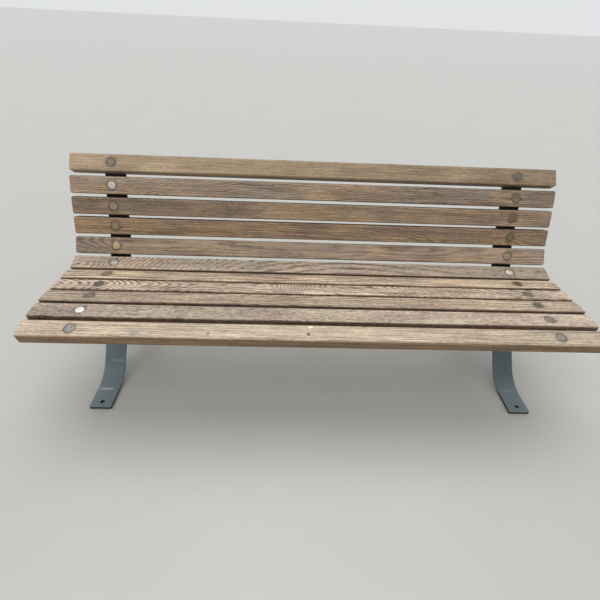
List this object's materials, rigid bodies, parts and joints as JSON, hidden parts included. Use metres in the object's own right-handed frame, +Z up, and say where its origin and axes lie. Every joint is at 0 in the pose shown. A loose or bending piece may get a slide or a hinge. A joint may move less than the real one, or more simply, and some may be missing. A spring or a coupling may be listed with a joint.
{
  "type": "bench",
  "caption": "Contour bench: long wooden slats form a curved seat and back on bent flat steel supports with arched legs.",
  "frame": {"origin": "centre of the bench on the floor: the middle of the box it fills, at the underside of the feet", "axes": "+X along the slats to the right as seen from the front, -Y is the front of the seat, +Z up"},
  "size_m": [1.8288, 0.777, 0.717],
  "materials": {
    "seat_wood": "worn clear finish",
    "back_wood": "worn clear finish",
    "bar_paint": "semi-gloss enamel",
    "bolt_steel": "worn zinc",
    "nut_steel": "zinc"
  },
  "bodies": {
    "root": {"seat_slat_1": "seat_wood", "seat_slat_2": "seat_wood", "seat_slat_3": "seat_wood", "seat_slat_4": "seat_wood", "seat_slat_5": "seat_wood", "seat_slat_6": "seat_wood", "back_slat_1": "back_wood", "back_slat_2": "back_wood", "back_slat_3": "back_wood", "back_slat_4": "back_wood", "back_slat_5": "back_wood", "seat_back_bar_left": "bar_paint", "leg_arch_left": "bar_paint", "crown_weld_left": "bar_paint", "seat_bolts_left": "bolt_steel", "seat_washers_left": "nut_steel", "seat_nuts_left": "nut_steel", "back_bolts_left": "bolt_steel", "back_washers_left": "nut_steel", "back_nuts_left": "nut_steel", "seat_back_bar_right": "bar_paint", "leg_arch_right": "bar_paint", "crown_weld_right": "bar_paint", "seat_bolts_right": "bolt_steel", "seat_washers_right": "nut_steel", "seat_nuts_right": "nut_steel", "back_bolts_right": "bolt_steel", "back_washers_right": "nut_steel", "back_nuts_right": "nut_steel"}
  },
  "joints": []
}
